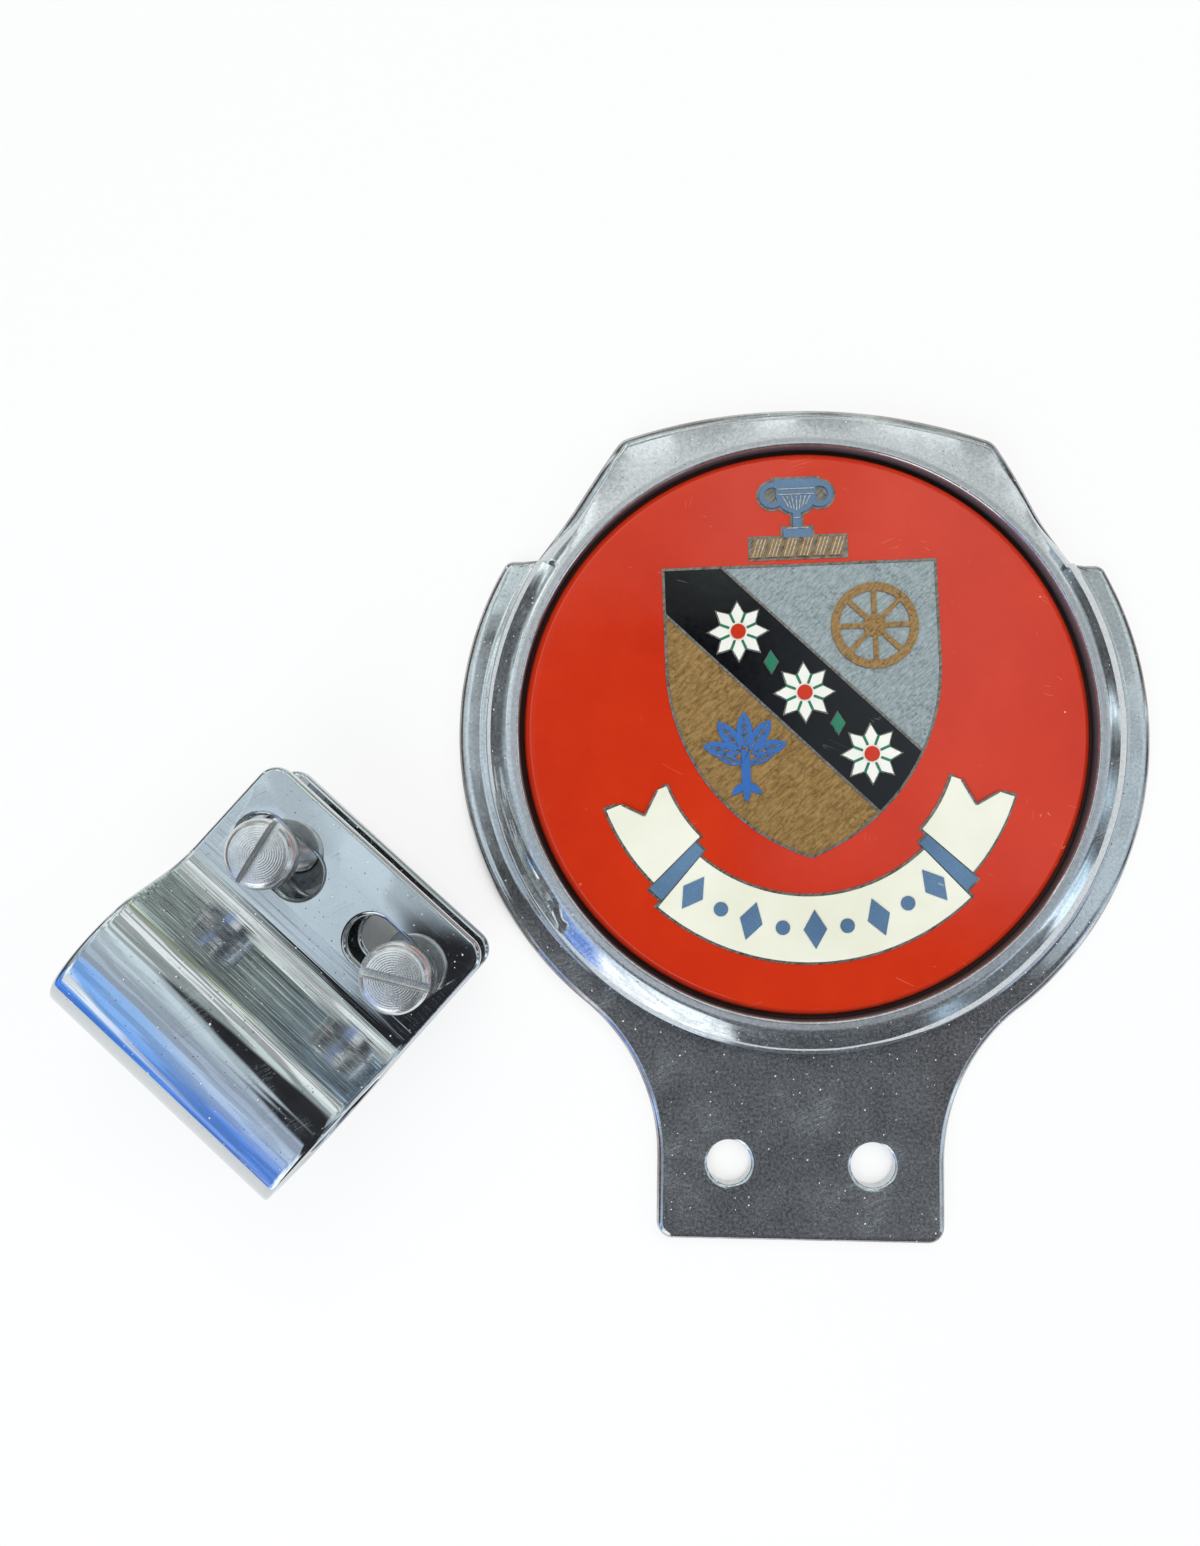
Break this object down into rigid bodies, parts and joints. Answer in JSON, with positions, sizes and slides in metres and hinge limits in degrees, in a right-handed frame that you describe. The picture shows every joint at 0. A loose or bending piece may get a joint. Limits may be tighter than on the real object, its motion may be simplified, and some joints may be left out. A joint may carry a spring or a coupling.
{
  "type": "car badge with bar bracket",
  "caption": "Car badge with an enamelled coat-of-arms disc in a chrome frame, and its folded chrome clamp for a round badge bar, lying side by side.",
  "frame": {"origin": "Midway between the two fixing holes in the tab, on the frame's flat back face", "axes": "+Z out of the badge's face, +X along the line of the two fixing holes to the right, +Y up the badge from the tab to the cap"},
  "size_m": [0.1401, 0.1113, 0.0257],
  "materials": {
    "chrome_plate": "bright chrome plate with dust specks and fine rubbing",
    "struck_metal": "struck metal lines, polished and a little dull",
    "hammered_silver": "silver field with a hammered ground",
    "hammered_gold": "gold field with a hammered ground, toned",
    "red_enamel": "cold enamel, glossy, fine scratches",
    "black_enamel": "cold enamel, glossy",
    "white_enamel": "cold enamel, glossy",
    "green_enamel": "cold enamel, glossy",
    "blue_enamel": "cold enamel, satin",
    "slate_enamel": "cold enamel, satin",
    "cream_enamel": "cold enamel, glossy",
    "bronze_paint": "bronze metal paint, worn",
    "screw_steel": "turned steel, dull plated, scuffed at the slot",
    "plain_steel": "zinc plated steel"
  },
  "bodies": {
    "badge": {"badge_frame": "chrome_plate", "emblem_disc": "struck_metal", "red_enamel": "red_enamel", "silver_panel": "hammered_silver", "gold_panel": "hammered_gold", "black_band": "black_enamel", "white_stars": "white_enamel", "red_studs": "red_enamel", "green_lozenges": "green_enamel", "bronze_wheel": "bronze_paint", "blue_tree": "blue_enamel", "bronze_torse": "bronze_paint", "slate_cup": "slate_enamel", "cream_scroll": "cream_enamel", "slate_marks": "slate_enamel", "disc_studs": "struck_metal", "disc_nuts": "plain_steel"},
    "bracket": {"strap_lower": "chrome_plate"},
    "upper_strap": {"strap_upper": "chrome_plate"},
    "left_washer_set": {"left_washer": "plain_steel"},
    "left_screw_set": {"left_screw": "screw_steel"},
    "left_nut_set": {"left_nut": "plain_steel"},
    "right_washer_set": {"right_washer": "plain_steel"},
    "right_screw_set": {"right_screw": "screw_steel"},
    "right_nut_set": {"right_nut": "plain_steel"}
  },
  "joints": [
    {"name": "bracket_lift", "type": "slide", "parent": "badge", "child": "bracket", "axis": [0, 0, 1], "range_m": [0, 0.05]},
    {"name": "strap_squeeze", "type": "hinge", "parent": "bracket", "child": "upper_strap", "pos_m": [-0.07858, 0.01188, 0.01284], "axis": [-0.7524, 0.6587, 0], "range_deg": [0, 8], "stiffness_Nm_per_rad": 1.5},
    {"name": "left_slot_slide", "type": "slide", "parent": "bracket", "child": "left_washer_set", "axis": [0.7524, -0.6587, 0], "range_m": [-0.0025, 0.0037]},
    {"name": "left_screw_turn", "type": "hinge", "parent": "left_washer_set", "child": "left_screw_set", "pos_m": [-0.06667, 0.04036, 0], "axis": [0, 0, 1], "range_deg": [0, 676]},
    {"name": "left_nut_travel", "type": "slide", "parent": "left_washer_set", "child": "left_nut_set", "axis": [0, 0, -1], "range_m": [0, 0.0015]},
    {"name": "right_slot_slide", "type": "slide", "parent": "bracket", "child": "right_washer_set", "axis": [0.7524, -0.6587, 0], "range_m": [-0.0057, 0.0005]},
    {"name": "right_screw_turn", "type": "hinge", "parent": "right_washer_set", "child": "right_screw_set", "pos_m": [-0.05042, 0.02613, 0], "axis": [0, 0, 1], "range_deg": [0, 676]},
    {"name": "right_nut_travel", "type": "slide", "parent": "right_washer_set", "child": "right_nut_set", "axis": [0, 0, -1], "range_m": [0, 0.0015]}
  ],
  "couplings": [
    {"joint": "left_screw_turn", "follows": "left_nut_travel", "rad_per_m": 7854},
    {"joint": "right_screw_turn", "follows": "right_nut_travel", "rad_per_m": 7854}
  ]
}
